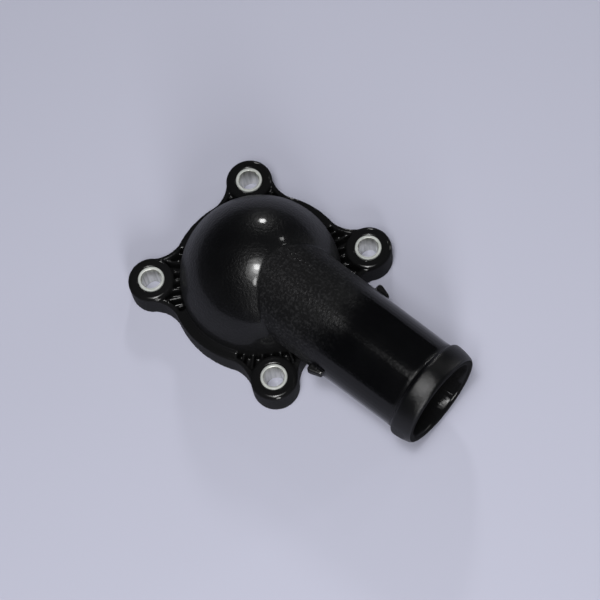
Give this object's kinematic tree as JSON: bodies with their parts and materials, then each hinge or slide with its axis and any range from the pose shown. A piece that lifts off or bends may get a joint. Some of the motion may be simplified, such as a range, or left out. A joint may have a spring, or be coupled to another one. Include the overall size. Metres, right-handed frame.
{
  "type": "thermostat housing",
  "caption": "Black moulded plastic coolant thermostat cover with an eared flange, a dome, a beaded hose spout and metal bolt sleeves.",
  "frame": {"origin": "middle of the dome and of the bolt holes, on the mounting face", "axes": "+X along the hose spout towards its mouth, +Z out of the mounting face through the dome"},
  "size_m": [0.1206, 0.0749, 0.0408],
  "materials": {
    "moulded_nylon": "black glass-filled nylon, fine moulded grain, satin on the dome",
    "sleeve_metal": "turned steel with bright zinc plating",
    "seal_rubber": "matte moulded rubber"
  },
  "bodies": {
    "root": {"housing": "moulded_nylon", "sleeve_front_left": "sleeve_metal", "sleeve_rear_left": "sleeve_metal", "sleeve_rear_right": "sleeve_metal", "sleeve_front_right": "sleeve_metal", "seal_ring": "seal_rubber"}
  },
  "joints": []
}
